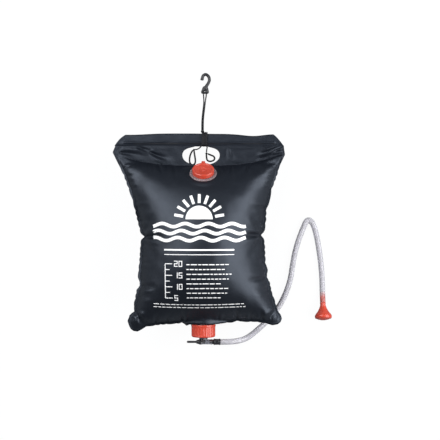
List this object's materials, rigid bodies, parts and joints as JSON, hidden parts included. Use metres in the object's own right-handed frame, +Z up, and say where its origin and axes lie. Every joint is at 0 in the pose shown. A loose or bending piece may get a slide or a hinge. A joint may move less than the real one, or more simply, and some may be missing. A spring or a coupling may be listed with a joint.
{
  "type": "camp shower bag",
  "caption": "Black vinyl camp shower bag lying full on its back, with filler cap, outlet cap, push-pull valve, clear hose, flared shower head and a corded hanging hook.",
  "frame": {"origin": "on the floor, under the middle of the water chamber, in the flat patch of the back panel that the bag lies on", "axes": "+Z up out of the bag's front, +Y towards the hanging hook, +X towards the side where the hose lies"},
  "size_m": [0.5024, 0.6391, 0.1929],
  "materials": {
    "black_vinyl": "soft black vinyl sheet with a low sheen",
    "black_plastic": "moulded black plastic",
    "red_plastic": "moulded red plastic, glossy",
    "clear_plastic": "milky clear moulded plastic",
    "smoky_plastic": "smoky clear moulded plastic",
    "hose_vinyl": "clear flexible vinyl tube",
    "seal_rubber": "black rubber",
    "black_cord": "laid black cord"
  },
  "bodies": {
    "bag": {"front_panel": "black_vinyl", "back_panel": "black_vinyl", "header_left": "black_vinyl", "header_middle": "black_vinyl", "header_right": "black_vinyl", "top_sleeve": "black_vinyl", "handle_rod": "black_plastic", "filler_neck": "clear_plastic", "outlet_spout": "clear_plastic", "cord_band": "black_cord", "tether_knot": "black_cord", "tether_loop": "black_cord", "tail_knot": "black_cord", "tail_loop": "black_cord"},
    "filler_seal": {"filler_seal": "seal_rubber"},
    "filler_cap": {"filler_cap": "red_plastic"},
    "valve": {"outlet_gasket": "seal_rubber", "valve_body": "smoky_plastic", "valve_bonnet": "black_plastic", "hose_coupling": "black_plastic", "hose": "hose_vinyl", "shower_head": "red_plastic", "rose_plate": "red_plastic"},
    "outlet_cap": {"outlet_cap": "red_plastic"},
    "valve_stem": {"valve_stem": "black_plastic", "stem_ring_outer": "seal_rubber", "stem_ring_inner": "seal_rubber"},
    "hanger": {"hanger_knot": "black_cord", "hang_cord": "black_cord"},
    "hook": {"hook": "black_plastic"}
  },
  "joints": [
    {"name": "filler_cap_lift", "type": "slide", "parent": "bag", "child": "filler_seal", "axis": [0, 0.783, 0.622], "range_m": [0, 0.0039]},
    {"name": "filler_cap_turn", "type": "hinge", "parent": "filler_seal", "child": "filler_cap", "pos_m": [0, 0.16113, 0.11502], "axis": [0, 0.783, 0.622], "range_deg": [0, 540]},
    {"name": "valve_draw_off", "type": "slide", "parent": "bag", "child": "valve", "axis": [0, -1, 0], "range_m": [0, 0.008]},
    {"name": "outlet_cap_turn", "type": "hinge", "parent": "valve", "child": "outlet_cap", "pos_m": [0, -0.2, 0.086], "axis": [0, -1, 0], "range_deg": [0, 720]},
    {"name": "valve_stem_pull", "type": "slide", "parent": "valve", "child": "valve_stem", "axis": [-1, 0, 0], "range_m": [0, 0.008]},
    {"name": "hanger_swing", "type": "hinge", "parent": "bag", "child": "hanger", "pos_m": [-0.0021, 0.2593, 0.086], "axis": [1, 0, 0], "range_deg": [0, 130]},
    {"name": "hook_pivot", "type": "hinge", "parent": "hanger", "child": "hook", "pos_m": [0.0023, 0.3588, 0.0056], "axis": [1, 0, 0], "range_deg": [-60, 60]}
  ],
  "couplings": [
    {"joint": "filler_cap_lift", "follows": "filler_cap_turn", "m_per_rad": 0.0004138},
    {"joint": "valve_draw_off", "follows": "outlet_cap_turn", "m_per_rad": 0.00063662}
  ]
}
